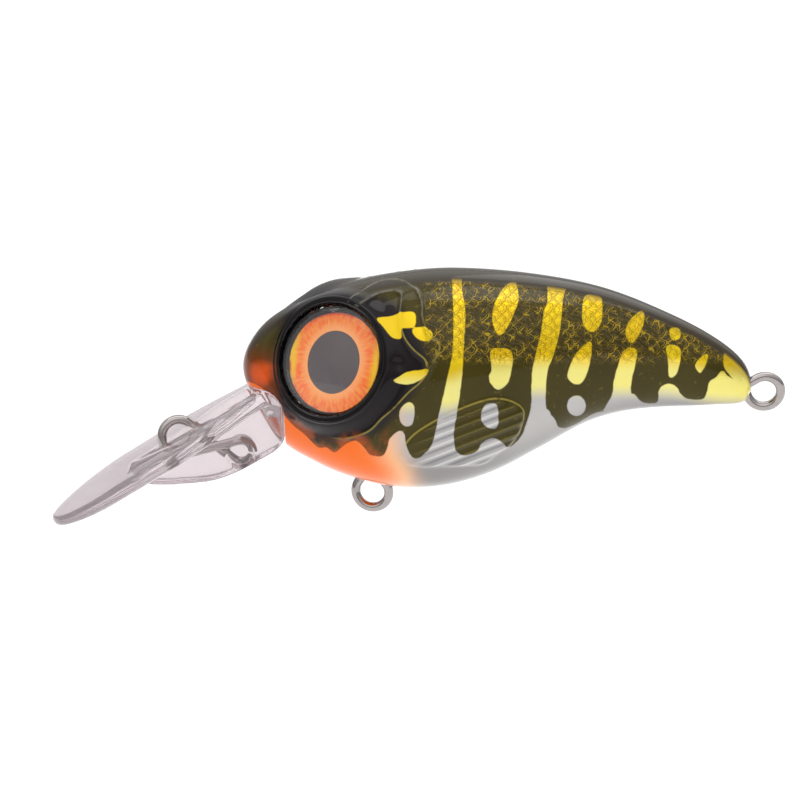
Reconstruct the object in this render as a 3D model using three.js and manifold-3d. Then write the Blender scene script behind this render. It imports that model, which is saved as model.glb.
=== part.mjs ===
// Crankbait lure with a clear diving lip: two moulded body halves, three figure-eight wire
// hangers, domed eyes, foil inserts, a fixed belly weight and loose rattle balls.
// Millimetres, +Z up. The origin is the centre of the line-tie eye. +X runs from the nose
// to the tail and -Y is the lure's left side.
import * as THREE from 'three';
import { mergeVertices } from 'three/addons/utils/BufferGeometryUtils.js';
import Module from 'manifold-3d';

// ---- driving dimensions -------------------------------------------------------------
// Positions along and across the body are measured from the nose tip, [x, z].
const BODY_LENGTH = 60;
const WALL = 1.2;             // thickness of the moulded halves
const SEAM_GAP = 0.1;         // glue line between the two halves
const FIT_GAP = 0.15;         // clearance round a piece held in a moulded pocket
const SECTION_POWER = 2.2;    // 2 is an ellipse, more is squarer
const STATIONS = 28;          // rings along the body
const SIDES = 20;             // points round each ring

const BACK = [[0, 0], [0.8, 2.8], [3.1, 5.6], [8.1, 8.4], [13.8, 10.25], [19.5, 11.25],
  [25.1, 11.6], [33.7, 11.0], [42.2, 9.4], [50.7, 6.05], [56.4, 2.85], [59.2, 0.2], [60, -2.4]];
const BELLY = [[0, 0], [0.3, -1.7], [2.2, -5.4], [4.6, -9.0], [8.1, -11.2], [12.4, -13.05],
  [18, -14.35], [23.7, -14.15], [29.4, -12.5], [35.1, -9.5], [40.8, -6.4], [46.4, -5.05],
  [55, -4.65], [59.2, -4.2], [60, -2.4]];
const HALF_WIDTH = [[0, 0], [0.8, 2.4], [3, 4.2], [6, 6.2], [10, 8.5], [15, 10.0], [21, 10.6],
  [28, 10.1], [35, 8.5], [42, 6.4], [49, 4.5], [55, 3.1], [59.2, 2.0], [60, 0]];

// Diving lip: a flat blade rising to the snout, a keel rib under it and a tongue in the body.
const LIP_TIP = [-22.9, -18.0];
const LIP_SLOPE = THREE.MathUtils.degToRad(32.2);
const BLADE_THICKNESS = 1.6;
const BLADE_LENGTH = 29.8;
const BLADE_TIP_LENGTH = 10;  // length of the elliptical tip
const BLADE_HALF_WIDTH = 8.3;
const BLADE_SHOULDER = [20, 8.6];   // [distance from the tip, half width]
const BLADE_ROOT = [BLADE_LENGTH, 5.2];
const SHOULDER_STRAIGHT = 2;  // where the straight side ends, before the shoulder
const SHOULDER_CURVE = 4;     // where the curve to the root starts to turn, past the shoulder
const KEEL_HALF_WIDTH = 1.9;
const KEEL_FRONT = -12.2;
const KEEL_NOSE = [-10.5, -14.0];   // control point of the keel's front curve
const KEEL_LOW = [-6, -13.95];
const KEEL_BELLY = [-1.6, -13.8];   // control point of the curve round the buried eye
const KEEL_REAR = [1.6, -11.3];
const KEEL_HEEL = -8.9;             // height where the keel meets the body
const KEEL_TOP = 2;
const ROOT_CORNER = [4.8, -2.0];    // the lip's root fills the body in front of and below this
const ROOT_RADIUS = 2.5;
const TONGUE = { back: 11, top: -3.4, bottom: -8.6, radius: 1 };
const TONGUE_PIN = { x: 8.2, z: -6.0, radius: 1.1 };

// Hanger wire, bent into a figure eight with one open eye and one buried eye.
const WIRE_RADIUS = 0.56;
const EYE_RADIUS = 1.965;     // centre line of the open eye
const BURIED_RADIUS = 1.42;   // centre line of the buried eye
const LEG_OFFSET = 0.62;      // sideways shift that lets the two legs cross
const BUTT_ANGLE = 0.16;      // half the angle left open where the wire's ends meet
const WIRE_SIDES = 8;
const WIRE_STEPS = 42;
const LINE_TIE = { open: [-7.8, -8.7], buried: [-0.4, -10.3] };
const BELLY_HANGER = { open: [15.2, -15.5], buried: [15.2, -11.1] };
const TAIL_HANGER = { open: [61.5, -3.1], buried: [57.3, -1.7] };
const HANGER_BOSS_RADIUS = 3.1;
const HANGER_BOSS_DEPTH = 2.6;

// Eyes, turned towards the nose. Depths are along the eye's own axis from its rim centre.
const EYE_CENTRE = [10.4, 6.4, 2.5];          // x, distance from the centre plane, z
const EYE_TURN = THREE.MathUtils.degToRad(28);
const EYE_TILT = THREE.MathUtils.degToRad(20);  // upwards
const EYE_RIM_RADIUS = 7.1;
const EYE_CUP_RADIUS = 7.9;
const EYE_POCKET_RADIUS = 6.6;
const EYE_RIM_TOP = 0.5;
const EYE_POCKET_FLOOR = -1.8;
const EYE_CUP_BACK = -2.8;
const IRIS = { radius: 6.25, bottom: -1.5, top: -0.95 };
const LENS = { radius: 6.3, bottom: -0.65, edge: -0.1, crown: 1.5 };

// Inside: foil skins, weight, rattle chambers and the posts that line the halves up.
const FOIL = { front: 18.9, back: 50, inner: 3.6, gap: 0.25, thickness: 0.35 };
const BALLAST = { front: 19.6, back: 29, z: -9.9, radius: 2.3 };
const SADDLES = [22, 26.6];
const RIB = 1.2;
const CHAMBER_WALL = 1;
const BALL_CLEARANCE = 0.2;
const STOP_GAP = 0.15;        // left between a ball and the chamber's end at its limit
const BELLY_BALLS = { count: 3, radius: 2.0, front: 18.8, travel: 5, z: -3.7 };
const TAIL_BALLS = { count: 2, radius: 1.5, front: 42.4, travel: 2.2, z: 1.2 };
const KNOCKER = { radius: 2.0, x: 24, z: 2.6, travel: 3.2 };
const CAVITY_BACK = 53;
const POSTS = [[20, 8.0], [37, 6.4], [39.6, -3.0]];
const POST_RADIUS = 1.4;
const PIN_RADIUS = 0.6;
const PIN_REACH = 1.6;

const ROUND_STEPS = 14;
const LENS_RINGS = 5;
const BALL_STEPS = [12, 8];
const CAPSULE_STEPS = [3, 12, 1];
const OUTLINE_STEPS = 6;
const TIP_STEPS = 10;
const ARC_STEP = 0.35;        // angle between points on a hanger's arcs
const FAR = 40;               // reaches past the whole body

// ---- materials ------------------------------------------------------------------------
function material(color, roughness, metalness, opacity = 1) {
  return new THREE.MeshStandardMaterial({
    color, roughness, metalness, opacity, transparent: opacity < 1,
  });
}
const olivePaint = () => material(0x4a4820, 0.2, 0.4);
const clearPlastic = () => material(0xe2d6da, 0.08, 0, 0.5);
const clearLens = () => material(0xf4f0ee, 0.05, 0, 0.4);
const polishedSteel = () => material(0x9c9694, 0.2, 1);
const irisOrange = () => material(0xfa7a40, 0.35, 0.1);
const goldFoil = () => material(0xe8c428, 0.25, 0.9);
const leadGrey = () => material(0x70727a, 0.5, 0.8);

// ---- joining and cutting ----------------------------------------------------------------
const wasm = await Module();
wasm.setup();

function solid(geometry) {
  const bare = geometry.clone();
  bare.deleteAttribute('normal');
  bare.deleteAttribute('uv');
  const merged = mergeVertices(bare, 1e-4);
  return new wasm.Manifold(new wasm.Mesh({
    numProp: 3,
    vertProperties: Float32Array.from(merged.attributes.position.array),
    triVerts: Uint32Array.from(merged.index.array),
  }));
}

function geometryOf(manifold) {
  const mesh = manifold.getMesh();
  const geometry = new THREE.BufferGeometry();
  geometry.setAttribute('position', new THREE.BufferAttribute(mesh.vertProperties, 3));
  geometry.setIndex(new THREE.BufferAttribute(mesh.triVerts, 1));
  geometry.computeVertexNormals();
  return geometry;
}

const joined = (pieces) => pieces.reduce((whole, piece) => whole.add(piece));
const cutBy = (body, tools) => tools.reduce((rest, tool) => rest.subtract(tool), body);

// ---- basic solids -----------------------------------------------------------------------
function block([x0, x1], [y0, y1], [z0, z1]) {
  const box = new THREE.BoxGeometry(x1 - x0, y1 - y0, z1 - z0);
  box.translate((x0 + x1) / 2, (y0 + y1) / 2, (z0 + z1) / 2);
  return solid(box);
}

// A side-view outline [x, z] given thickness from y0 to y1.
function plate(shape, y0, y1) {
  const body = new THREE.ExtrudeGeometry(shape, {
    depth: y1 - y0, bevelEnabled: false, curveSegments: OUTLINE_STEPS,
  });
  body.rotateX(Math.PI / 2);
  body.translate(0, y1, 0);
  return solid(body);
}

// A round bar lying across the body, from y0 to y1.
function crossBar([x, z], radius, y0, y1) {
  const bar = new THREE.CylinderGeometry(radius, radius, y1 - y0, ROUND_STEPS);
  bar.translate(x, (y0 + y1) / 2, z);
  return solid(bar);
}

// The side of the lure that a half lies on: side is -1 on the left and 1 on the right.
const span = (side, near, far) => (side < 0 ? [-far, -near] : [near, far]);

// ---- the body's outer form ----------------------------------------------------------------
// Stations are closer together at the two round ends.
const stationOf = (x) => Math.acos(1 - (2 * x) / BODY_LENGTH) / Math.PI;
const placeOf = (station) => (BODY_LENGTH * (1 - Math.cos(Math.PI * station))) / 2;

// A smooth curve through [x, value] points, read at a station.
function outline(points) {
  const at = points.map(([x]) => stationOf(x));
  const value = points.map(([, v]) => v);
  const last = points.length - 1;
  const slope = value.map((_, i) => {
    const a = Math.max(i - 1, 0);
    const b = Math.min(i + 1, last);
    return (value[b] - value[a]) / (at[b] - at[a]);
  });
  return (station) => {
    let i = 0;
    while (i < last - 1 && station > at[i + 1]) i += 1;
    const width = at[i + 1] - at[i];
    const u = (station - at[i]) / width;
    const rise = u * u * (3 - 2 * u);
    return value[i] * (1 - rise) + value[i + 1] * rise
      + slope[i] * width * u * (1 - u) * (1 - u) - slope[i + 1] * width * u * u * (1 - u);
  };
}
const backAt = outline(BACK);
const bellyAt = outline(BELLY);
const halfWidthAt = outline(HALF_WIDTH);

// Takes the wall off a radius, and never more than half of it.
const thinned = (radius, wall) => Math.max(radius - wall, radius / 2);
const squared = (value) => Math.sign(value) * Math.abs(value) ** (2 / SECTION_POWER);

// The body's closed skin, moved inwards by a wall thickness.
function bodySkin(wall) {
  const places = [];
  const faces = [];
  for (let s = 0; s <= STATIONS; s += 1) {
    const station = s / STATIONS;
    const x = wall + (placeOf(station) * (BODY_LENGTH - 2 * wall)) / BODY_LENGTH;
    const middle = (backAt(station) + bellyAt(station)) / 2;
    const height = thinned((backAt(station) - bellyAt(station)) / 2, wall);
    const width = thinned(halfWidthAt(station), wall);
    const atEnd = s === 0 || s === STATIONS;
    for (let k = 0; k < (atEnd ? 1 : SIDES); k += 1) {
      const angle = (2 * Math.PI * k) / SIDES;
      const y = atEnd ? 0 : width * squared(Math.cos(angle));
      const z = atEnd ? middle : middle + height * squared(Math.sin(angle));
      places.push(x, y, z);
    }
  }
  const tail = places.length / 3 - 1;
  const first = (s) => 1 + (s - 1) * SIDES;
  for (let k = 0; k < SIDES; k += 1) {
    const next = (k + 1) % SIDES;
    faces.push(0, first(1) + next, first(1) + k);
    faces.push(tail, first(STATIONS - 1) + k, first(STATIONS - 1) + next);
    for (let s = 1; s < STATIONS - 1; s += 1) {
      const a = first(s);
      const b = first(s + 1);
      faces.push(a + k, a + next, b + next, a + k, b + next, b + k);
    }
  }
  const skin = new THREE.BufferGeometry();
  skin.setAttribute('position', new THREE.Float32BufferAttribute(places, 3));
  skin.setIndex(faces);
  return solid(skin);
}
const bodyOuter = bodySkin(0);
const bodyInner = bodySkin(WALL);

// The part of the head that the lip's root takes up, grown by a margin.
function rootRegion(margin) {
  const right = ROOT_CORNER[0] + margin;
  const top = ROOT_CORNER[1] + margin;
  const radius = ROOT_RADIUS + margin;
  const shape = new THREE.Shape();
  shape.moveTo(-FAR, -FAR);
  shape.lineTo(right, -FAR);
  shape.lineTo(right, top - radius);
  shape.absarc(right - radius, top - radius, radius, 0, Math.PI / 2, false);
  shape.lineTo(-FAR, top);
  shape.closePath();
  return plate(shape, -FAR, FAR);
}

// ---- figure-eight hangers -----------------------------------------------------------------
const smooth = (u) => u * u * (3 - 2 * u);

// The wire's centre line: half the buried eye, a leg, the open eye, a leg and the other half.
function hangerPath({ open, buried }) {
  const reach = new THREE.Vector2(open[0] - buried[0], open[1] - buried[1]);
  const distance = reach.length();
  const along = reach.normalize();
  const tangent = Math.acos((EYE_RADIUS + BURIED_RADIUS) / distance);
  const points = [];
  const arc = (centre, radius, from, to, shiftFrom, shiftTo) => {
    const steps = Math.ceil(Math.abs(to - from) / ARC_STEP);
    for (let i = 0; i <= steps; i += 1) {
      const angle = from + ((to - from) * i) / steps;
      const p = centre + radius * Math.cos(angle);
      const q = radius * Math.sin(angle);
      const shift = shiftFrom + (shiftTo - shiftFrom) * smooth(i / steps);
      points.push(new THREE.Vector3(
        buried[0] + along.x * p - along.y * q, shift, buried[1] + along.y * p + along.x * q));
    }
  };
  const end = Math.PI - BUTT_ANGLE;
  arc(0, BURIED_RADIUS, end, tangent, 0, LEG_OFFSET);
  arc(distance, EYE_RADIUS, Math.PI + tangent, 3 * Math.PI - tangent, LEG_OFFSET, -LEG_OFFSET);
  arc(0, BURIED_RADIUS, -tangent, -end, -LEG_OFFSET, 0);
  return new THREE.CatmullRomCurve3(points, false, 'centripetal');
}

function hangerWire(hanger, radius) {
  const section = new THREE.Shape();
  section.absarc(0, 0, radius, 0, 2 * Math.PI, false);
  return new THREE.ExtrudeGeometry(section, {
    steps: WIRE_STEPS, curveSegments: WIRE_SIDES / 2, extrudePath: hangerPath(hanger),
  });
}
const wireGroove = (hanger) => solid(hangerWire(hanger, WIRE_RADIUS + FIT_GAP));

// ---- eyes -----------------------------------------------------------------------------------
function eyeFrame(side) {
  const level = Math.cos(EYE_TILT);
  const axis = new THREE.Vector3(-Math.sin(EYE_TURN) * level,
    side * Math.cos(EYE_TURN) * level, Math.sin(EYE_TILT));
  const turn = new THREE.Quaternion().setFromUnitVectors(new THREE.Vector3(0, 1, 0), axis);
  const centre = new THREE.Vector3(EYE_CENTRE[0], side * EYE_CENTRE[1], EYE_CENTRE[2]);
  return { centre, turn };
}

function eyeBar(side, radiusIn, radiusOut, from, to) {
  const { centre, turn } = eyeFrame(side);
  const bar = new THREE.CylinderGeometry(radiusOut, radiusIn, to - from, 2 * ROUND_STEPS);
  bar.translate(0, (from + to) / 2, 0);
  bar.applyQuaternion(turn);
  bar.translate(centre.x, centre.y, centre.z);
  return solid(bar);
}

function irisDisc() {
  const disc = new THREE.CylinderGeometry(IRIS.radius, IRIS.radius, IRIS.top - IRIS.bottom,
    2 * ROUND_STEPS);
  disc.translate(0, (IRIS.top + IRIS.bottom) / 2, 0);
  return disc;
}

// A clear cap with a flat back, a short straight edge and a spherical crown.
function lensCap() {
  const rise = LENS.crown - LENS.edge;
  const ball = (LENS.radius ** 2 + rise ** 2) / (2 * rise);
  const sweep = Math.asin(LENS.radius / ball);
  const profile = [new THREE.Vector2(0, LENS.bottom), new THREE.Vector2(LENS.radius, LENS.bottom)];
  for (let i = 0; i <= LENS_RINGS; i += 1) {
    const angle = sweep * (1 - i / LENS_RINGS);
    const radius = i === LENS_RINGS ? 0 : ball * Math.sin(angle);
    profile.push(new THREE.Vector2(radius, LENS.crown - ball * (1 - Math.cos(angle))));
  }
  return new THREE.LatheGeometry(profile, 2 * ROUND_STEPS);
}

// ---- rattle chambers --------------------------------------------------------------------------
const rowLength = (row) => 2 * row.radius * row.count + row.travel + 2 * STOP_GAP;
const rowBack = (row) => row.front + rowLength(row);

// A box chamber along the body, shared by the two halves: its walls and its hollow.
function rowChamber(row) {
  const inside = row.radius + BALL_CLEARANCE;
  const outside = inside + CHAMBER_WALL;
  return {
    walls: block([row.front - RIB, rowBack(row) + RIB], [-outside, outside],
      [row.z - outside, row.z + outside]),
    hollow: block([row.front, rowBack(row)], [-inside, inside],
      [row.z - inside, row.z + inside]),
  };
}

// The ribs under a chamber's two ends, down to the belly.
function rowLegs(row) {
  const outside = row.radius + BALL_CLEARANCE + CHAMBER_WALL;
  const leg = (x0) => block([x0, x0 + RIB], [-outside, outside], [-FAR, row.z]);
  return leg(row.front - RIB).add(leg(rowBack(row)));
}

function knockerChamber() {
  const inside = KNOCKER.radius + BALL_CLEARANCE;
  const outside = inside + CHAMBER_WALL;
  const reach = KNOCKER.travel + KNOCKER.radius + STOP_GAP;
  const box = (margin, end) => block([KNOCKER.x - margin, KNOCKER.x + margin], [-end, end],
    [KNOCKER.z - margin, KNOCKER.z + margin]);
  return { walls: box(outside, reach + CHAMBER_WALL), hollow: box(inside, reach) };
}

// ---- body halves ------------------------------------------------------------------------------
function ballastBody(radius) {
  const length = BALLAST.back - BALLAST.front - 2 * BALLAST.radius;
  const capsule = new THREE.CapsuleGeometry(radius, length, ...CAPSULE_STEPS);
  capsule.rotateZ(Math.PI / 2);
  capsule.translate((BALLAST.front + BALLAST.back) / 2, 0, BALLAST.z);
  return capsule;
}

function tongueShape(margin) {
  const { back, top, bottom, radius } = TONGUE;
  const shape = new THREE.Shape();
  shape.moveTo(ROOT_CORNER[0] - RIB, bottom - margin);
  shape.lineTo(back - radius, bottom - margin);
  shape.absarc(back - radius, bottom + radius, radius + margin, -Math.PI / 2, 0, false);
  shape.absarc(back - radius, top - radius, radius + margin, 0, Math.PI / 2, false);
  shape.lineTo(ROOT_CORNER[0] - RIB, top + margin);
  shape.closePath();
  return shape;
}

function bodyHalf(side) {
  const half = block([-FAR, 2 * FAR], span(side, SEAM_GAP / 2, FAR), [-FAR, FAR]);
  const cavity = cutBy(bodyInner, [
    rootRegion(FIT_GAP + WALL),
    block([CAVITY_BACK, 2 * FAR], [-FAR, FAR], [-FAR, FAR]),
  ]);
  const bellyChamber = rowChamber(BELLY_BALLS);
  const tailChamber = rowChamber(TAIL_BALLS);
  const knocker = knockerChamber();
  const saddle = (x) => block([x - RIB / 2, x + RIB / 2],
    [-BALLAST.radius, BALLAST.radius], [-FAR, BALLAST.z]);
  const boss = (at) => crossBar(at, HANGER_BOSS_RADIUS, -HANGER_BOSS_DEPTH, HANGER_BOSS_DEPTH);
  const post = (at) => crossBar(at, POST_RADIUS, -FAR, FAR);
  const ribs = joined([
    bellyChamber.walls, rowLegs(BELLY_BALLS), tailChamber.walls, rowLegs(TAIL_BALLS),
    knocker.walls, ...SADDLES.map(saddle), boss(BELLY_HANGER.buried),
    crossBar([TONGUE_PIN.x, TONGUE_PIN.z], TONGUE_PIN.radius, -FAR, FAR),
    ...POSTS.map(post),
  ]).intersect(bodyOuter);
  const cup = eyeBar(side, EYE_CUP_RADIUS, EYE_RIM_RADIUS, EYE_CUP_BACK, EYE_RIM_TOP);
  const whole = joined([bodyOuter.subtract(cavity), ribs, cup]).intersect(half);
  const tongueSlot = plate(tongueShape(FIT_GAP), -KEEL_HALF_WIDTH - FIT_GAP,
    KEEL_HALF_WIDTH + FIT_GAP)
    .subtract(crossBar([TONGUE_PIN.x, TONGUE_PIN.z], TONGUE_PIN.radius, -FAR, FAR));
  const cut = cutBy(whole, [
    rootRegion(FIT_GAP), tongueSlot,
    bellyChamber.hollow, tailChamber.hollow, knocker.hollow,
    solid(ballastBody(BALLAST.radius + FIT_GAP)),
    wireGroove(BELLY_HANGER), wireGroove(TAIL_HANGER),
    eyeBar(side, EYE_POCKET_RADIUS, EYE_POCKET_RADIUS, EYE_POCKET_FLOOR, FAR / 4),
  ]);
  // The left half carries the locating pins and the right half their holes.
  if (side < 0) {
    return joined([cut, ...POSTS.map((at) => crossBar(at, PIN_RADIUS, -PIN_REACH, PIN_REACH))]);
  }
  return cutBy(cut, POSTS.map((at) => crossBar(at, PIN_RADIUS + FIT_GAP, -FAR, PIN_REACH + FIT_GAP)));
}

// ---- foil -----------------------------------------------------------------------------------------
function foilInsert(side) {
  const outside = bodySkin(WALL + FOIL.gap);
  const inside = bodySkin(WALL + FOIL.gap + FOIL.thickness);
  const flank = block([FOIL.front, FOIL.back], span(side, FOIL.inner, FAR), [-FAR, FAR]);
  const holes = POSTS.map((at) => crossBar(at, POST_RADIUS + 2 * FIT_GAP, -FAR, FAR));
  return cutBy(outside.intersect(flank), [inside, ...holes]);
}

// ---- diving lip -----------------------------------------------------------------------------------
function bladeShape() {
  const shape = new THREE.Shape();
  shape.moveTo(BLADE_ROOT[0], -BLADE_ROOT[1]);
  shape.quadraticCurveTo(BLADE_SHOULDER[0] + SHOULDER_CURVE, -BLADE_SHOULDER[1],
    BLADE_SHOULDER[0] - SHOULDER_STRAIGHT, -BLADE_SHOULDER[1]);
  shape.lineTo(BLADE_TIP_LENGTH, -BLADE_HALF_WIDTH);
  shape.absellipse(BLADE_TIP_LENGTH, 0, BLADE_TIP_LENGTH, BLADE_HALF_WIDTH,
    -Math.PI / 2, Math.PI / 2, true);
  shape.lineTo(BLADE_SHOULDER[0] - SHOULDER_STRAIGHT, BLADE_SHOULDER[1]);
  shape.quadraticCurveTo(BLADE_SHOULDER[0] + SHOULDER_CURVE, BLADE_SHOULDER[1],
    BLADE_ROOT[0], BLADE_ROOT[1]);
  shape.closePath();
  return shape;
}

function blade() {
  const body = new THREE.ExtrudeGeometry(bladeShape(), {
    depth: BLADE_THICKNESS, bevelEnabled: false, curveSegments: TIP_STEPS,
  });
  body.translate(0, 0, -BLADE_THICKNESS);
  body.rotateY(-LIP_SLOPE);
  body.translate(LIP_TIP[0], 0, LIP_TIP[1]);
  return solid(body);
}

// The rib under the blade, deepest round the buried eye of the line tie.
function keel() {
  const under = (x) => LIP_TIP[1] + (x - LIP_TIP[0]) * Math.tan(LIP_SLOPE) - BLADE_THICKNESS / 2;
  const shape = new THREE.Shape();
  shape.moveTo(KEEL_FRONT, under(KEEL_FRONT));
  shape.quadraticCurveTo(...KEEL_NOSE, ...KEEL_LOW);
  shape.quadraticCurveTo(...KEEL_BELLY, ...KEEL_REAR);
  shape.lineTo(ROOT_CORNER[0], KEEL_HEEL);
  shape.lineTo(ROOT_CORNER[0], ROOT_CORNER[1] - ROOT_RADIUS);
  shape.lineTo(KEEL_TOP, under(KEEL_TOP));
  shape.closePath();
  return plate(shape, -KEEL_HALF_WIDTH, KEEL_HALF_WIDTH);
}

function divingLip() {
  const tongue = plate(tongueShape(0), -KEEL_HALF_WIDTH, KEEL_HALF_WIDTH);
  const root = bodyOuter.intersect(rootRegion(0));
  const pinHole = crossBar([TONGUE_PIN.x, TONGUE_PIN.z], TONGUE_PIN.radius + FIT_GAP, -FAR, FAR);
  return cutBy(joined([blade(), keel(), root, tongue]), [wireGroove(LINE_TIE), pinHole]);
}

// ---- assembly ---------------------------------------------------------------------------------------
const lure = new THREE.Group();
lure.position.set(-LINE_TIE.open[0], 0, -LINE_TIE.open[1]);

function place(name, geometry, finish, position, turn) {
  const mesh = new THREE.Mesh(geometry, finish);
  mesh.name = name;
  if (position) mesh.position.copy(position);
  if (turn) mesh.quaternion.copy(turn);
  lure.add(mesh);
}

for (const [word, side] of [['left', -1], ['right', 1]]) {
  const { centre, turn } = eyeFrame(side);
  place(`body_shell_${word}`, geometryOf(bodyHalf(side)), olivePaint());
  place(`foil_insert_${word}`, geometryOf(foilInsert(side)), goldFoil());
  place(`eye_iris_${word}`, irisDisc(), irisOrange(), centre, turn);
  place(`eye_lens_${word}`, lensCap(), clearLens(), centre, turn);
}
place('diving_lip', geometryOf(divingLip()), clearPlastic());
place('line_tie_wire', hangerWire(LINE_TIE, WIRE_RADIUS), polishedSteel());
place('belly_hook_hanger', hangerWire(BELLY_HANGER, WIRE_RADIUS), polishedSteel());
place('tail_hook_hanger', hangerWire(TAIL_HANGER, WIRE_RADIUS), polishedSteel());
place('belly_ballast', ballastBody(BALLAST.radius), leadGrey());

// Each ball rests at the front end of its chamber.
function ballRow(word, row) {
  for (let i = 0; i < row.count; i += 1) {
    const x = row.front + STOP_GAP + row.radius + i * 2 * row.radius;
    place(`${word}_rattle_ball_${i + 1}`, new THREE.SphereGeometry(row.radius, ...BALL_STEPS),
      polishedSteel(), new THREE.Vector3(x, 0, row.z));
  }
}
ballRow('belly', BELLY_BALLS);
ballRow('tail', TAIL_BALLS);
place('knocker_ball', new THREE.SphereGeometry(KNOCKER.radius, ...BALL_STEPS), polishedSteel(),
  new THREE.Vector3(KNOCKER.x, 0, KNOCKER.z));

export default lure;
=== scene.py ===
"""The crankbait's visual model: painted skins, domed eyes, a clear diving lip and steel hangers."""
import math

import bmesh
import bpy
import numpy as np
from mathutils import Matrix, Vector


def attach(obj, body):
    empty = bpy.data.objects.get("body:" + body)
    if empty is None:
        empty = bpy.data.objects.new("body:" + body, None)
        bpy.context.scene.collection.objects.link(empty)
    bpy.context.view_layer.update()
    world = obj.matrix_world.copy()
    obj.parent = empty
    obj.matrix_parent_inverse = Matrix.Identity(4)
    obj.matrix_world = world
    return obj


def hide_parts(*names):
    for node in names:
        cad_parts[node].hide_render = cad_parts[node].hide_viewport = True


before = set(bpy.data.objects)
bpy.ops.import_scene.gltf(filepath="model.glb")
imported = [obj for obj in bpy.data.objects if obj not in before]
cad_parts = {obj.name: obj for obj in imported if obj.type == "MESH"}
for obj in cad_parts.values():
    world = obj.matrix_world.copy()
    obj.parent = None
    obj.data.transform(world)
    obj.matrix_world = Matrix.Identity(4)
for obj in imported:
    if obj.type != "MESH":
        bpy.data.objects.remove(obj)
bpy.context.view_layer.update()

MM = 0.001
ROOT = "lure_body"

# ---- the body's form, in millimetres from the nose tip, as [x, value] --------------------------
BODY_LENGTH = 60.0
NOSE = np.array([7.8, 0.0, 8.7])      # the nose tip in the row frame
WALL = 1.2
SECTION_POWER = 2.2
BACK = [(0, 0), (0.8, 2.8), (3.1, 5.6), (8.1, 8.4), (13.8, 10.25), (19.5, 11.25), (25.1, 11.6),
        (33.7, 11.0), (42.2, 9.4), (50.7, 6.05), (56.4, 2.85), (59.2, 0.2), (60, -2.4)]
BELLY = [(0, 0), (0.3, -1.7), (2.2, -5.4), (4.6, -9.0), (8.1, -11.2), (12.4, -13.05), (18, -14.35),
         (23.7, -14.15), (29.4, -12.5), (35.1, -9.5), (40.8, -6.4), (46.4, -5.05), (55, -4.65),
         (59.2, -4.2), (60, -2.4)]
HALF_WIDTH = [(0, 0), (0.8, 2.4), (3, 4.2), (6, 6.2), (10, 8.5), (15, 10.0), (21, 10.6), (28, 10.1),
              (35, 8.5), (42, 6.4), (49, 4.5), (55, 3.1), (59.2, 2.0), (60, 0)]
STATIONS = 460                # rings along the body
ROUND = 170                   # steps from the back seam down to the belly seam
INNER_ROUND = 24              # the same on the unseen inner face
SEAM = 0.04                   # half the glue line between the halves
ROOT_CORNER = (4.95, -1.85)   # the lip's root fills the head in front of and below this
ROOT_RADIUS = 2.65
ROOT_GAP = 0.12               # the lip's root stands this far off the skin

# Eyes: radii are from the eye's own axis, and depths w are along it from its rim centre.
EYE_CENTRE = (10.4, 6.4, 2.5)
EYE_TURN = math.radians(28)
EYE_TILT = math.radians(20)
EYE_FACE_DEPTH = -6.0         # skin deeper than this is the head's other side
POCKET_RADIUS = 6.75
POCKET_DEPTH = -1.7
PAD_RADIUS = 7.0              # the flat pad round the pocket
PAD_END = 8.9                 # where the pad has run out into the head
PAD_LIMIT = 9.4
PAD_DEPTH = 0.2
CUP_RADIUS = 7.9              # the same on the inner face
CUP_END = 9.9
CUP_DEPTH = -2.6

# Paint marks are drawn on the side view seen from 16 degrees above: u along, v up, in
# millimetres at the lure's middle plane, as a camera at VIEW_DISTANCE sees them.
VIEW_TILT = math.radians(16)
TILT_UP = math.cos(VIEW_TILT)
TILT_OUT = math.sin(VIEW_TILT)
FRAME_WIDTH = 94.64           # what the camera sees across at the middle plane
LENS = 135.0
SENSOR = 36.0
VIEW_DISTANCE = FRAME_WIDTH * LENS / SENSOR
VIEW_CENTRE = (18.5, -4.02)


def station_of(x):
    return np.arccos(1 - 2 * np.asarray(x, float) / BODY_LENGTH) / math.pi


def outline(points):
    """A smooth curve through [x, value] points, read at stations."""
    at = station_of([p[0] for p in points])
    value = np.array([p[1] for p in points], float)
    low = np.maximum(np.arange(len(at)) - 1, 0)
    high = np.minimum(np.arange(len(at)) + 1, len(at) - 1)
    slope = (value[high] - value[low]) / (at[high] - at[low])

    def read(station):
        i = np.clip(np.searchsorted(at, station, side="right") - 1, 0, len(at) - 2)
        width = at[i + 1] - at[i]
        t = (station - at[i]) / width
        rise = t * t * (3 - 2 * t)
        return (value[i] * (1 - rise) + value[i + 1] * rise + slope[i] * width * t * (1 - t) ** 2
                - slope[i + 1] * width * t * t * (1 - t))
    return read


back_at = outline(BACK)
belly_at = outline(BELLY)
half_width_at = outline(HALF_WIDTH)


def root_top(x):
    """Height of the lip root's upper face, which rounds down to its corner."""
    past = np.clip(x - (ROOT_CORNER[0] - ROOT_RADIUS), 0, None)
    drop = np.sqrt(np.clip(ROOT_RADIUS ** 2 - past ** 2, 0, None))
    return ROOT_CORNER[1] - ROOT_RADIUS + drop


def smoothstep(low, high, value):
    t = np.clip((value - low) / (high - low), 0, 1)
    return t * t * (3 - 2 * t)


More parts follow.
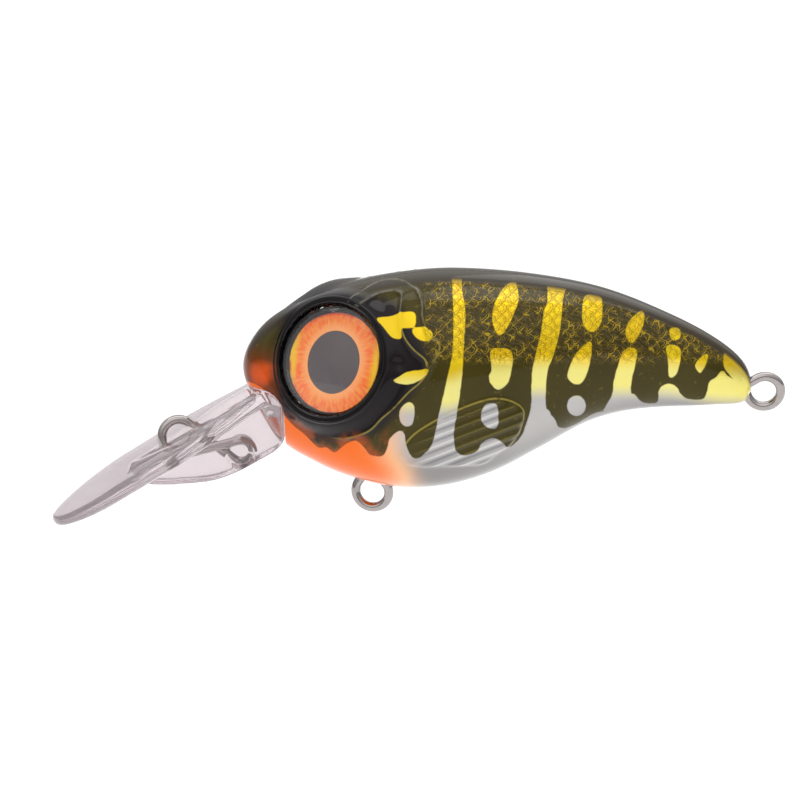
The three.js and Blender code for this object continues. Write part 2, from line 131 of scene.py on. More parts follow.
def half_skin(wall=0.0, steps=ROUND, stations=STATIONS):
    """Grid [ring, step, xyz] of the half body with y positive, moved inwards by a wall."""
    station = np.linspace(0, 1, stations + 1)[:, None]
    angle = np.linspace(math.pi / 2, -math.pi / 2, steps + 1)[None, :]
    x = BODY_LENGTH * (1 - np.cos(math.pi * station)) / 2
    x = wall + x * (BODY_LENGTH - 2 * wall) / BODY_LENGTH
    middle = (back_at(station) + belly_at(station)) / 2
    height = (back_at(station) - belly_at(station)) / 2
    width = half_width_at(station)
    height = np.maximum(height - wall, height / 2)
    width = np.maximum(width - wall, width / 2)
    power = 2 / SECTION_POWER
    y = width * np.maximum(np.cos(angle), 0) ** power
    z = middle + height * np.sign(np.sin(angle)) * np.abs(np.sin(angle)) ** power
    return np.stack([x + 0 * y, y, z], axis=-1)


def grid_normals(grid):
    along = np.gradient(grid, axis=0)
    across = np.gradient(grid, axis=1)
    normal = np.cross(across, along)
    length = np.linalg.norm(normal, axis=-1, keepdims=True)
    normal = normal / np.maximum(length, 1e-9)
    outward = grid - np.array([BODY_LENGTH * 0.45, 0, -1.5])
    flip = np.sign(np.sum(normal * outward, axis=-1, keepdims=True))
    return normal * np.where(flip == 0, 1, flip)


# ---- curves on the pattern plane -------------------------------------------------------------
def rounded(points, closed=True, steps=6):
    """A Catmull-Rom curve through the points."""
    p = np.array(points, float)
    if closed:
        p = np.vstack([p[-1], p, p[0], p[1]])
    else:
        p = np.vstack([2 * p[0] - p[1], p, 2 * p[-1] - p[-2]])
    t = (np.arange(steps) / steps)[:, None]
    out = []
    for i in range(1, len(p) - 2):
        a, b, c, d = p[i - 1], p[i], p[i + 1], p[i + 2]
        out.append(0.5 * (2 * b + (c - a) * t + (2 * a - 5 * b + 4 * c - d) * t ** 2
                          + (3 * b - a - 3 * c + d) * t ** 3))
    if not closed:
        out.append(p[-2][None, :])
    return np.vstack(out)


def line_distance(line, at, closed=False):
    """Distance from each point of at to a polyline."""
    start = line
    end = np.roll(line, -1, axis=0)
    if not closed:
        start, end = start[:-1], end[:-1]
    best = np.full(len(at), 1e9)
    for a, b in zip(start, end):
        d = b - a
        t = np.clip(((at - a) @ d) / max(d @ d, 1e-12), 0, 1)
        gap = at - a - t[:, None] * d
        best = np.minimum(best, np.einsum("ij,ij->i", gap, gap))
    return np.sqrt(best)


def signed_distance(shape, at):
    """Distance to a closed outline, negative inside it."""
    inside = np.zeros(len(at), bool)
    for a, b in zip(shape, np.roll(shape, -1, axis=0)):
        crosses = (a[1] > at[:, 1]) != (b[1] > at[:, 1])
        rise = b[1] - a[1] if b[1] != a[1] else 1e-12
        inside ^= crosses & (at[:, 0] < (b[0] - a[0]) * (at[:, 1] - a[1]) / rise + a[0])
    distance = line_distance(shape, at, closed=True)
    return np.where(inside, -distance, distance)


# The dark olive area's edge: under the cheek, along the lobes of the bars, to the tail.
DARK_AREA = [(-6, 20), (-6, 0), (0.4, -1.8), (2.2, -2.6), (3.7, -4.0), (4.8, -5.7), (5.9, -7.0),
             (7.4, -8.2), (8.8, -9.6), (9.8, -9.6), (10.8, -10.2), (12.0, -9.3), (13.3, -8.8),
             (14.4, -9.8), (15.0, -10.5), (16.4, -10.6), (17.0, -9.7), (17.3, -8.6), (18.3, -7.7),
             (19.0, -8.0), (19.2, -9.2), (20.0, -10.6), (20.8, -10.6), (21.8, -9.7), (22.8, -8.3),
             (23.9, -8.2), (24.8, -9.4), (25.4, -10.1), (26.4, -10.2), (27.4, -9.8), (28.0, -9.0),
             (29.0, -8.4), (30.1, -8.5), (31.2, -9.5), (32.1, -9.1), (33.1, -7.8), (33.9, -5.8),
             (35.8, -5.1), (36.5, -6.2), (37.4, -7.3), (39.0, -7.0), (41.2, -5.7), (43.1, -5.1),
             (44.5, -3.5), (46.0, -3.3), (47.1, -4.3), (48.8, -4.3), (49.0, -3.0), (49.4, -2.4),
             (50.3, -2.1), (51.2, -2.6), (51.6, -3.3), (52.5, -3.9), (54.2, -3.9), (54.7, -3.0),
             (55.0, -1.9), (55.8, -1.3), (56.6, -0.6), (58.1, -1.7), (66, -4.5), (66, 20)]
# Openings in the dark area that show the foil: bars, spots and head marks.
WINDOWS = {
    "bar_front": [(24.7, 11.5), (25.7, 11.5), (25.8, 9.0), (26.2, 6.4), (26.0, 1.7), (25.8, -1.3),
                  (25.4, -4.4), (24.8, -7.6), (24.8, -11), (22.1, -11), (22.8, -7.0), (23.4, -4.4),
                  (24.1, -1.3), (24.7, 1.7), (24.8, 6.4), (24.7, 9.0)],
    "spot_shoulder": [(32.0, 9.9), (32.5, 8.0), (31.8, 5.9), (30.8, 4.0), (30.1, 3.7), (29.5, 4.7),
                      (29.4, 6.2), (29.8, 7.7), (30.7, 9.2)],
    "spot_flank": [(29.2, 1.8), (30.6, 2.1), (31.6, 1.7), (31.8, 0.6), (31.6, -0.7), (31.2, -2.0),
                   (30.1, -2.8), (29.2, -2.1), (29.0, -1.2), (29.3, -0.4)],
    "spot_fin": [(29.1, -4.3), (29.9, -4.6), (29.9, -6.9), (29.1, -7.2), (28.2, -6.6), (28.0, -5.7),
                 (28.3, -4.7)],
    "bar_middle": [(36.1, 10.8), (38.2, 10.8), (37.7, 7.7), (37.6, 6.5), (37.3, 3.9), (36.6, 1.3),
                   (35.9, -0.6), (35.7, -2.8), (35.8, -5.1), (37.0, -6.9), (37.0, -11),
                   (31.8, -11), (32.9, -8.2), (33.9, -5.1), (34.0, -2.8), (34.1, -0.6),
                   (34.5, 1.3), (35.1, 3.9), (35.5, 6.5), (35.9, 7.7)],
    "spot_back": [(40.3, 8.2), (41.5, 8.3), (42.3, 7.8), (42.3, 5.6), (41.8, 4.4), (41.1, 4.0),
                  (40.2, 4.7), (40.0, 6.4)],
    "spot_side": [(40.6, 2.7), (41.1, 2.6), (41.0, 0.9), (40.6, -0.7), (39.9, -2.0), (39.0, -2.1),
                  (38.3, -1.4), (38.4, -0.4), (39.3, 1.5)],
    "spot_round": [(39.3 + 1.1 * math.cos(turn), -4.7 + 1.2 * math.sin(turn))
                   for turn in np.linspace(0, 2 * math.pi, 10, endpoint=False)],
    "bar_rear": [(45.0, 1.9), (46.4, 1.9), (46.2, 0.0), (45.8, -1.8), (45.8, -3.4), (46.9, -5.6),
                 (42.6, -5.8), (43.5, -3.4), (43.7, -1.8), (44.2, 0.0)],
    "spot_rear": [(47.1, 6.5), (47.3, 5.3), (46.7, 3.7), (45.8, 2.7), (45.1, 3.7), (45.4, 5.0),
                  (46.2, 6.0)],
    "spot_tail_top": [(50.3, 4.3), (51.2, 4.5), (51.6, 3.9), (51.4, 3.2), (50.6, 3.1)],
    "spot_tail_low": [(49.9, 2.2), (50.6, 2.5), (51.5, 2.1), (51.6, 0.9), (51.2, -0.7),
                      (50.7, -1.3), (50.2, -1.1), (50.1, 0.7)],
    "spot_tail_end": [(53.3, 0.1), (54.1, 1.1), (54.8, 1.4), (54.7, 0.5), (54.2, -0.5),
                      (53.8, -0.8)],
    "tail_patch": [(56.8, 1.5), (57.9, 1.7), (59.4, -0.6), (63, -3), (63, -7), (59.3, -6),
                   (58.1, -2.2), (56.8, -0.2)],
    "cheek_square": [(15.9, 5.6), (17.1, 5.9), (18.6, 6.2), (20.2, 6.2), (20.2, 4.6), (18.8, 4.3),
                     (18.6, 3.3), (17.6, 3.4), (16.7, 4.5)],
    "cheek_dash": [(20.1, 4.4), (21.4, 4.5), (22.3, 3.9), (22.1, 3.0), (20.9, 3.0), (20.1, 3.7)],
    "cheek_wedge": [(17.8, -1.9), (18.5, -1.2), (19.5, -0.7), (20.9, -0.5), (21.9, -0.4),
                    (21.1, -1.5), (19.5, -2.2)],
    "cheek_drop": [(19.4, -4.3), (20.1, -4.6), (20.2, -5.7), (19.9, -6.9), (19.1, -7.1),
                   (18.5, -6.4), (18.5, -5.2)],
}
# Black area round the eye and over the cheek.
BLACK_AREA = [(9.0, 9.0), (13.0, 8.4), (17.0, 7.6), (19.2, 5.6), (20.6, 3.2), (21.6, 0.6),
              (20.4, -2.4), (18.0, -5.4), (15.6, -7.8), (13.0, -8.6), (9.4, -8.8), (6.4, -7.4),
              (4.4, -4.6), (3.6, -0.8), (4.2, 4.0), (6.2, 7.4)]
# Raised edges of the gill plates, the back of the eye that closes them, and the fin's outline.
BROW_RIDGE = [(11.8, 6.4), (13.4, 8.2), (14.8, 9.4), (16.7, 10.2), (18.8, 10.1), (20.4, 8.9),
              (21.1, 7.2), (21.2, 5.4), (22.0, 3.4), (23.2, 2.2)]
INNER_RIDGE = [(12.0, 6.0), (14.4, 7.4), (15.9, 8.4), (17.6, 8.8), (18.7, 8.3), (18.6, 7.0),
               (18.5, 5.4), (19.0, 3.4), (20.1, 1.9), (21.4, 0.8), (21.9, -0.2)]
CHEEK_RIDGE = [(21.9, -0.5), (20.9, -1.9), (19.5, -3.1), (17.7, -5.0), (16.3, -6.2), (15.0, -7.5),
               (13.3, -8.2), (11.5, -8.5), (9.8, -8.4), (8.2, -8.0)]
EYE_SIDE = [(9, -4), (9, 2)]
DIMPLE = (18.0, 0.2)
# Heights of the moulded relief, in millimetres.
BEAD_HEIGHT, BEAD_HALF_WIDTH = 0.34, 0.24
BAND_HEIGHT = 0.15
DIMPLE_DEPTH, DIMPLE_SPREAD = 0.4, 0.5
FIN_HEIGHT, RAY_HEIGHT = 0.3, 0.2
PLATE_DROP = 0.18
BACK_STEP = 0.12
FIN = [(18.6, -10.1), (18.9, -11.0), (20.1, -11.8), (24.3, -11.8), (28.1, -11.5), (30.3, -10.1),
       (31.5, -9.2), (32.5, -7.8), (33.1, -5.7), (32.5, -4.6), (30.8, -3.9), (29.0, -3.9),
       (27.0, -4.5), (25.0, -5.3), (23.4, -6.0), (20.2, -8.0)]
FIN_RAY_ANGLE = math.radians(21)
FIN_RAY_SPACING = 1.05
FIN_RAY_START = (20, -8)


def eye_axes(side):
    """The eye's centre, its forward-up directions and its axis, with y times side."""
    level = math.cos(EYE_TILT)
    axis = np.array([-math.sin(EYE_TURN) * level, side * math.cos(EYE_TURN) * level,
                     math.sin(EYE_TILT)])
    along = np.array([math.cos(EYE_TURN), side * math.sin(EYE_TURN), 0.0])
    up = np.cross(axis, along) * -side
    up = up if up[2] > 0 else -up
    centre = np.array([EYE_CENTRE[0], side * EYE_CENTRE[1], EYE_CENTRE[2]])
    return centre, along, up, axis


def eye_coordinates(grid):
    """The right eye's axis, and each point's radius from it and depth along it."""
    centre, along, up, axis = eye_axes(1)
    local = grid - centre
    return axis, np.hypot(local @ along, local @ up), local @ axis


def shaped_skin():
    """The right half's relief, as a grid in millimetres, and the paint fields at its vertices."""
    grid = half_skin()
    normal = grid_normals(grid)
    normal[:, 0, 1] = 0
    normal[:, -1, 1] = 0
    shape = grid.shape[:2]
    u = grid[..., 0].ravel()
    v = (TILT_UP * grid[..., 2] - TILT_OUT * grid[..., 1]).ravel()
    nearer = (TILT_UP * grid[..., 1] + TILT_OUT * grid[..., 2]).ravel()
    swell = VIEW_DISTANCE / (VIEW_DISTANCE - nearer)
    top = TILT_UP * back_at(station_of(np.clip(u, 0, BODY_LENGTH)))
    shoulder = top - v
    u = VIEW_CENTRE[0] + (u - VIEW_CENTRE[0]) * swell
    v = VIEW_CENTRE[1] + (v - VIEW_CENTRE[1]) * swell
    at = np.stack([u, v], axis=1)

    band = signed_distance(rounded(BROW_RIDGE + INNER_RIDGE[::-1]), at)
    gill = signed_distance(rounded(INNER_RIDGE + CHEEK_RIDGE + EYE_SIDE), at)
    # No relief near the back's centre line, and no gill lines under the eye.
    fade = smoothstep(1.5, 2.6, shoulder)
    clear_of_eye = np.where(v < 0, smoothstep(10.0, 12.5, u), smoothstep(12.0, 12.8, u))
    fin_edge = signed_distance(rounded(FIN), at)
    across = ((v - FIN_RAY_START[1]) * math.cos(FIN_RAY_ANGLE)
              - (u - FIN_RAY_START[0]) * math.sin(FIN_RAY_ANGLE))
    rays = 0.5 + 0.5 * np.cos(2 * math.pi * across / FIN_RAY_SPACING)
    in_fin = smoothstep(0.25, -0.5, fin_edge)
    bead = np.minimum(np.abs(band), np.abs(gill))
    raise_by = clear_of_eye * BEAD_HEIGHT * np.exp(-(bead / BEAD_HALF_WIDTH) ** 2)
    raise_by += BAND_HEIGHT * smoothstep(0.3, -0.4, band) * clear_of_eye
    from_dimple = (u - DIMPLE[0]) ** 2 + (v - DIMPLE[1]) ** 2
    raise_by -= DIMPLE_DEPTH * np.exp(-from_dimple / DIMPLE_SPREAD)
    raise_by += in_fin * (FIN_HEIGHT + RAY_HEIGHT * rays * smoothstep(18, 23, u))
    # The plate inside the ridges lies a little lower.
    raise_by -= PLATE_DROP * smoothstep(0.4, -1.2, gill)
    # Below the shoulder line the flank drops a little, then comes back up.
    behind_head = smoothstep(21, 24, u)
    raise_by -= BACK_STEP * smoothstep(1.0, 1.5, shoulder) * behind_head
    raise_by += BACK_STEP * smoothstep(1.2, 5.0, shoulder) * behind_head
    grid = grid + normal * (raise_by * fade).reshape(shape)[..., None]

    axis, radius, w = eye_coordinates(grid)
    near = w > EYE_FACE_DEPTH
    blend = smoothstep(PAD_RADIUS, PAD_END, radius)
    target = np.where(radius < POCKET_RADIUS, POCKET_DEPTH, PAD_DEPTH)
    moved = np.where(near & (radius < PAD_LIMIT), target * (1 - blend) + w * blend, w)
    grid = grid + (moved - w)[..., None] * axis

    # The flat underside of the snout and the wall behind the lip's root.
    x = grid[..., 0]
    grid[..., 2] = np.where(x < ROOT_CORNER[0], np.maximum(grid[..., 2], root_top(x)),
                            grid[..., 2])
    grid[..., 1] = np.maximum(grid[..., 1], SEAM)

    windows = np.min([signed_distance(rounded(p), at) for p in WINDOWS.values()], axis=0)
    dark = np.maximum(signed_distance(rounded(DARK_AREA), at), -windows)
    black = signed_distance(rounded(BLACK_AREA), at)
    # Height on the flank, which turns pearl into gold: the gold comes lower at both ends.
    gold = v + smoothstep(49, 57, u) + 1.9 * smoothstep(29, 24, u)
    fields = {
        "dark": dark,
        "black": black,
        "gold": gold,
        "shoulder": shoulder,
        "band": band,
        "gill": gill,
        "fin": fin_edge,
        "rays": rays,
        "line_area": clear_of_eye,
        "facing_up": normal[..., 2].ravel(),
        "side_u": u,
        "side_v": v,
    }
    return grid, fields


def inner_skin():
    """The right half's unseen inner face, clear of the eye's cup and the lip's root."""
    grid = half_skin(WALL, INNER_ROUND)
    axis, radius, w = eye_coordinates(grid)
    blend = smoothstep(CUP_RADIUS, CUP_END, radius)
    moved = np.minimum(w, CUP_DEPTH * (1 - blend) + w * blend)
    grid = grid + np.where(w > EYE_FACE_DEPTH, moved - w, 0)[..., None] * axis
    low = (grid[..., 0] < ROOT_CORNER[0] + WALL) & (grid[..., 2] < ROOT_CORNER[1] + WALL)
    grid[..., 2] = np.where(low, ROOT_CORNER[1] + WALL, grid[..., 2])
    grid[..., 1] = np.maximum(grid[..., 1], 2 * SEAM)
    grid[:, 0, 1] = SEAM
    grid[:, -1, 1] = SEAM
    return grid


# ---- mesh helpers ----------------------------------------------------------------------------
def add_object(name, data):
    obj = bpy.data.objects.new(name, data)
    bpy.context.scene.collection.objects.link(obj)
    return obj


def make_object(name, vertices, faces):
    """A mesh object from vertices in millimetres in the body's own frame."""
    mesh = bpy.data.meshes.new(name)
    mesh.from_pydata((np.asarray(vertices, float) + NOSE) * MM, [], faces)
    mesh.validate()
    mesh.update()
    return add_object(name, mesh)


def face_outwards(obj, sharp_degrees):
    """Welds the mesh, turns its faces outwards and smooths all but its sharp edges."""
    bm = bmesh.new()
    bm.from_mesh(obj.data)
    bmesh.ops.remove_doubles(bm, verts=bm.verts, dist=1e-7)
    bmesh.ops.recalc_face_normals(bm, faces=bm.faces)
    bm.to_mesh(obj.data)
    bm.free()
    obj.data.shade_smooth()
    obj.data.set_sharp_from_angle(angle=math.radians(sharp_degrees))


def add_field(obj, name, values):
    layer = obj.data.attributes.new(name, "FLOAT", "POINT")
    layer.data.foreach_set("value", np.asarray(values, np.float32))


def shell_object(name, side, outer, inner, fields):
    """One closed half: the outer grid, the inner grid and the rim that joins them."""
    mirror = np.array([1, side, 1])
    vertices = np.vstack([(outer * mirror).reshape(-1, 3), (inner * mirror).reshape(-1, 3)])
    count = outer[..., 0].size
    skins = (np.arange(count).reshape(outer.shape[:2]),
             count + np.arange(inner[..., 0].size).reshape(inner.shape[:2]))
    faces = []
    for index in skins:
        corners = index[:-1, :-1], index[1:, :-1], index[1:, 1:], index[:-1, 1:]
        faces.append(np.stack(corners, axis=-1).reshape(-1, 4))
    for seam in (0, -1):
        a, b = skins[0][:, seam], skins[1][:, seam]
        faces.append(np.stack([a[:-1], b[:-1], b[1:], a[1:]], axis=-1))
    obj = make_object(name, vertices, np.vstack(faces).tolist())
    for field, values in fields.items():
        add_field(obj, field, np.concatenate([values, np.ones(len(vertices) - count)]))
    face_outwards(obj, 50)
    return obj


def turned(name, profile, side, steps=96):
    """A lathe shape round the eye's axis from a closed [radius, w] profile."""
    centre, along, up, axis = eye_axes(side)
    profile = np.array(profile, float)
    on_axis = profile[:, 0] < 1e-6
    vertices, rows = [], []
    for (radius, w), single in zip(profile, on_axis):
        row = []
        for k in range(1 if single else steps):
            angle = 2 * math.pi * k / steps
            offset = radius * (math.cos(angle) * along + math.sin(angle) * up)
            row.append(len(vertices))
            vertices.append(centre + offset + w * axis)
        rows.append(row)
    closed = not on_axis[0]
    faces = []
    for i in range(len(rows) if closed else len(rows) - 1):
        low, high = rows[i], rows[(i + 1) % len(rows)]
        for k in range(steps):
            n = (k + 1) % steps
            if len(low) == 1:
                faces.append((low[0], high[k], high[n]))
            elif len(high) == 1:
                faces.append((low[k], low[n], high[0]))
            else:
                faces.append((low[k], low[n], high[n], high[k]))
    obj = make_object(name, vertices, faces)
    face_outwards(obj, 35)
    points = (np.array([v.co for v in obj.data.vertices]) / MM - NOSE) - centre
    add_field(obj, "eye_a", points @ along)
    add_field(obj, "eye_b", points @ up)
    return obj


# ---- node helpers ----------------------------------------------------------------------------
def srgb(r, g, b):
    """A display colour 0-255 as linear light."""
    def one(c):
        c /= 255
        return c / 12.92 if c <= 0.04045 else ((c + 0.055) / 1.055) ** 2.4
    return one(r), one(g), one(b), 1.0


# The colour sockets of Blender's Mix node, which shares its names with other kinds of value.
MIX_COLOUR_A, MIX_COLOUR_B, MIX_COLOUR_OUT = 6, 7, 2


class Nodes:
    """A short way to write a material's node tree."""

    def __init__(self, name):
        self.material = bpy.data.materials.new(name)
        self.material.use_nodes = True
        self.tree = self.material.node_tree
        self.tree.nodes.clear()
        self.output = self.tree.nodes.new("ShaderNodeOutputMaterial")

    def add(self, kind, **settings):
        node = self.tree.nodes.new(kind)
        for key, value in settings.items():
            setattr(node, key, value)
        return node

    def put(self, value, socket):
        if isinstance(value, bpy.types.NodeSocket):
            self.tree.links.new(value, socket)
        elif value is not None:
            socket.default_value = value

    def field(self, name):
        return self.add("ShaderNodeAttribute", attribute_name=name).outputs["Fac"]

    def math(self, operation, a, b=None):
        node = self.add("ShaderNodeMath", operation=operation)
        for value, socket in zip((a, b), node.inputs):
            self.put(value, socket)
        return node.outputs[0]

    def times(self, value, *others):
        for other in others:
            value = self.math("MULTIPLY", value, other)
        return value

    def plus(self, a, b):
        return self.math("ADD", a, b)

    def minus(self, a, b):
        return self.math("SUBTRACT", a, b)

    def length(self, a, b):
        return self.math("SQRT", self.plus(self.times(a, a), self.times(b, b)))

    def ramp(self, value, low, high, out_low=0.0, out_high=1.0):
        node = self.add("ShaderNodeMapRange", interpolation_type="SMOOTHSTEP")
        for item, key in ((value, "Value"), (low, "From Min"), (high, "From Max"),
                          (out_low, "To Min"), (out_high, "To Max")):
            self.put(item, node.inputs[key])
        return node.outputs["Result"]

    def mix(self, factor, a, b):
        node = self.add("ShaderNodeMix", data_type="RGBA")
        self.put(factor, node.inputs["Factor"])
        self.put(a, node.inputs[MIX_COLOUR_A])
        self.put(b, node.inputs[MIX_COLOUR_B])
        return node.outputs[MIX_COLOUR_OUT]

    def noise(self, scale, detail=3.0, rough=0.5, vector=None):
        node = self.add("ShaderNodeTexNoise")
        node.inputs["Scale"].default_value = scale
        node.inputs["Detail"].default_value = detail
        node.inputs["Roughness"].default_value = rough
        self.put(vector or self.place(), node.inputs["Vector"])
        return node.outputs["Fac"]

    def place(self, stretch=(1, 1, 1), turn=0.0):
        """Object coordinates, stretched and turned about Y."""
        source = self.add("ShaderNodeTexCoord").outputs["Object"]
        node = self.add("ShaderNodeMapping")
        node.inputs["Scale"].default_value = stretch
        node.inputs["Rotation"].default_value = (0, turn, 0)
        self.put(source, node.inputs["Vector"])
        return node.outputs["Vector"]

    def bump(self, height, distance, strength=1.0, normal=None):
        node = self.add("ShaderNodeBump")
        node.inputs["Strength"].default_value = strength
        node.inputs["Distance"].default_value = distance
        self.put(height, node.inputs["Height"])
        self.put(normal, node.inputs["Normal"])
        return node.outputs["Normal"]

    def principled(self, **sockets):
        node = self.add("ShaderNodeBsdfPrincipled")
        for key, value in sockets.items():
            self.put(value, node.inputs[key.replace("_", " ")])
        self.put(node.outputs[0], self.output.inputs["Surface"])
        return node

    def let_lamps_through(self, shader, tint):
        """Clear plastic that doesn't shut out the lamps behind it."""
        clear = self.add("ShaderNodeBsdfTransparent")
        clear.inputs["Color"].default_value = tint
        path = self.add("ShaderNodeLightPath")
        mix = self.add("ShaderNodeMixShader")
        self.put(path.outputs["Is Shadow Ray"], mix.inputs[0])
        self.put(shader.outputs[0], mix.inputs[1])
        self.put(clear.outputs[0], mix.inputs[2])
        self.put(mix.outputs[0], self.output.inputs["Surface"])


# ---- materials -------------------------------------------------------------------------------
SCALE_SIZE = 1.35             # one embossed scale, in millimetres
SCALE_ARC, INNER_ARC = 0.46, 0.27     # the radii of a scale's two arcs, in scales
HATCH_ANGLE = math.radians(28)


def scale_arcs(n, u, v):
    """Rows of overlapping fish scales: 1 along each scale's round edge."""
    row = n.math("DIVIDE", u, SCALE_SIZE * 0.5)
    shift = n.times(n.math("FLOORED_MODULO", n.math("FLOOR", row), 2.0), 0.5)
    across = n.math("FRACT", n.plus(n.math("DIVIDE", v, SCALE_SIZE), shift))
    reach = n.length(n.times(n.math("FRACT", row), 0.5), n.minus(across, 0.5))
    edge = n.ramp(n.math("ABSOLUTE", n.minus(reach, SCALE_ARC)), 0.075, 0.02)
    inner = n.ramp(n.math("ABSOLUTE", n.minus(reach, INNER_ARC)), 0.05, 0.015)
    return n.math("MAXIMUM", edge, n.times(inner, 0.55))


def paint_material():
    n = Nodes("lure_paint")
    dark, black, gold = n.field("dark"), n.field("black"), n.field("gold")
    shoulder, side_u, side_v = n.field("shoulder"), n.field("side_u"), n.field("side_v")
    fin = n.field("fin")
    in_fin = n.times(n.ramp(fin, -0.1, -0.35), n.ramp(side_u, 19.0, 23.0))
    rays = n.field("rays")
    line = n.math("ABSOLUTE", fin)
    for edge_name in ("band", "gill"):
        line = n.math("MINIMUM", line, n.math("ABSOLUTE", n.field(edge_name)))
    flat = n.add("ShaderNodeCombineXYZ")
    n.put(side_u, flat.inputs[0])
    n.put(side_v, flat.inputs[1])
    drift = n.noise(140, 4)
    fine = n.noise(1500, 3)
    wander = n.times(n.minus(n.noise(0.9, 2, 0.5, flat.outputs[0]), 0.5), 1.1)

    # Scales embossed in the foil, on the upper flank behind the head.
    arcs = scale_arcs(n, n.plus(side_u, wander), n.plus(side_v, wander))
    hatch_place = n.add("ShaderNodeMapping")
    hatch_place.inputs["Rotation"].default_value = (0, 0, HATCH_ANGLE)
    n.put(flat.outputs[0], hatch_place.inputs["Vector"])
    hatch = n.add("ShaderNodeTexWave", wave_type="BANDS", bands_direction="Y")
    hatch.inputs["Scale"].default_value = 0.55
    hatch.inputs["Distortion"].default_value = 11.0
    hatch.inputs["Detail"].default_value = 3.0
    hatch.inputs["Detail Scale"].default_value = 1.6
    n.put(hatch_place.outputs[0], hatch.inputs["Vector"])
    zone = n.times(n.ramp(shoulder, 1.3, 1.7), n.ramp(side_v, 0.0, 1.3),
                   n.ramp(side_u, 20.8, 22.5), n.ramp(side_u, 56.5, 58.5, 1.0, 0.0))
    scale_line = n.times(arcs, zone)

    # Foil and pearl seen through the openings.
    foil_gold = n.mix(drift, srgb(232, 178, 4), srgb(252, 226, 34))
    pale = n.mix(drift, srgb(242, 228, 96), srgb(246, 238, 160))
    # The pearl darkens towards the belly's bottom, and painted shade darkens it further where the
    # skin faces down.
    pearl = n.mix(n.ramp(side_v, -14.0, -8.0), srgb(146, 143, 142), srgb(190, 187, 185))
    pearl = n.mix(n.ramp(n.field("facing_up"), -0.3, -0.95), pearl, srgb(130, 127, 125))
    light = n.mix(n.ramp(gold, -4.2, -2.0), pearl, pale)
    light = n.mix(n.ramp(gold, -0.8, 1.5), light, foil_gold)
    amber = n.times(n.ramp(shoulder, 2.6, 1.0), 0.6)
    light = n.mix(amber, light, srgb(150, 120, 10))
    # Painted shade in the grooves between the fin's moulded rays, and a painted highlight along
    # their crests.
    ray_groove_shade = n.times(n.ramp(rays, 0.45, 0.05), in_fin)
    light = n.mix(n.times(ray_groove_shade, 0.6), light, srgb(112, 112, 120))
    ray_crest_highlight = n.times(n.ramp(rays, 0.75, 0.98), in_fin)
    light = n.mix(n.times(ray_crest_highlight, 0.5), light, srgb(236, 236, 236))

    # Orange throat that fades into the pearl.
    throat_reach = n.plus(side_u, n.times(drift, 2.0))
    throat_reach = n.minus(throat_reach, n.ramp(side_v, -9.0, -14.0, 0.0, 2.4))
    throat = n.ramp(throat_reach, 12.0, 22.5, 1.0, 0.0)
    throat = n.times(throat, n.math("MAXIMUM", n.ramp(side_v, -3.0, -5.0),
                                    n.ramp(side_u, 8.0, 6.0)))
    light = n.mix(n.ramp(throat, 0.0, 0.5), light, srgb(248, 190, 142))
    light = n.mix(n.ramp(throat, 0.3, 0.95), light, srgb(250, 114, 28))

    # Dark olive over the foil: the foil's scale lines glint through it.
    olive = n.mix(drift, srgb(50, 43, 4), srgb(76, 66, 12))
    brown = n.mix(drift, srgb(44, 36, 18), srgb(60, 50, 30))
    olive = n.mix(n.ramp(shoulder, 1.9, 1.2), olive, brown)
    glint = n.times(scale_line, n.ramp(n.noise(900, 3), 0.38, 0.62))
    olive = n.mix(n.times(glint, 0.85), olive, srgb(214, 178, 36))
    shimmer = n.times(n.ramp(hatch.outputs["Fac"], 0.5, 0.9), zone)
    olive = n.mix(n.times(shimmer, 0.22), olive, srgb(120, 106, 90))
    # Painted highlight: gold glints along the fin rays' crests.
    olive = n.mix(n.times(ray_crest_highlight, 0.3), olive, srgb(150, 138, 66))
    olive = n.mix(n.times(n.ramp(fine, 0.62, 0.72), 0.25), olive, srgb(130, 120, 50))
    violet = n.mix(drift, srgb(12, 7, 8), srgb(28, 20, 24))
    olive = n.mix(n.ramp(black, -0.6, 1.1, 1.0, 0.0), olive, violet)
    # Thin gold lines of the engraved foil along the ridges and the fin's edge; towards the brow
    # they turn grey, a painted highlight along the ridge.
    ridge_line_and_highlight = n.times(n.ramp(line, 0.15, 0.04), n.ramp(n.noise(700, 2), 0.3, 0.5),
                         n.ramp(shoulder, 0.1, 0.6), n.field("line_area"))
    ridge_gold_and_highlight_grey = n.mix(n.ramp(side_v, 3.0, 6.5), srgb(176, 158, 70), srgb(122, 118, 104))
    olive = n.mix(n.times(ridge_line_and_highlight, 0.6), olive, ridge_gold_and_highlight_grey)

    # The snout turns brown towards the lip, with a small orange glow.
    snout = n.times(n.ramp(side_u, 2.0, 5.5, 1.0, 0.0), n.ramp(side_v, 3.4, -1.2))
    olive = n.mix(n.times(snout, 0.9), olive, srgb(132, 52, 12))
    glow_u = n.math("DIVIDE", n.minus(side_u, 2.1), 1.5)
    glow_v = n.math("DIVIDE", n.plus(side_v, 0.9), 1.9)
    glow = n.plus(n.times(glow_u, glow_u), n.times(glow_v, glow_v))
    glow = n.plus(glow, n.times(n.minus(n.noise(480, 3), 0.5), 1.1))
    olive = n.mix(n.ramp(glow, 1.15, -0.3, 0.0, 0.8), olive, srgb(244, 92, 20))
    # Thin overspray at the cheek's lower edge lets the orange show through.
    ragged = n.times(n.ramp(side_u, 15.5, 18.0, 1.0, 0.0), n.ramp(dark, -1.5, -0.2),
                     n.ramp(side_v, -5.0, -7.0), n.ramp(n.noise(520, 3), 0.35, 0.6))
    olive = n.mix(n.times(ragged, 0.75), olive, srgb(170, 78, 26))

    edge = n.plus(dark, n.times(n.minus(fine, 0.5), 0.12))
    is_dark = n.math("MAXIMUM", n.ramp(edge, -0.08, 0.08, 1.0, 0.0), n.ramp(shoulder, 1.6, 0.95))
    colour = n.mix(is_dark, light, olive)
    colour = n.mix(n.times(scale_line, 0.28), colour, srgb(92, 72, 8))

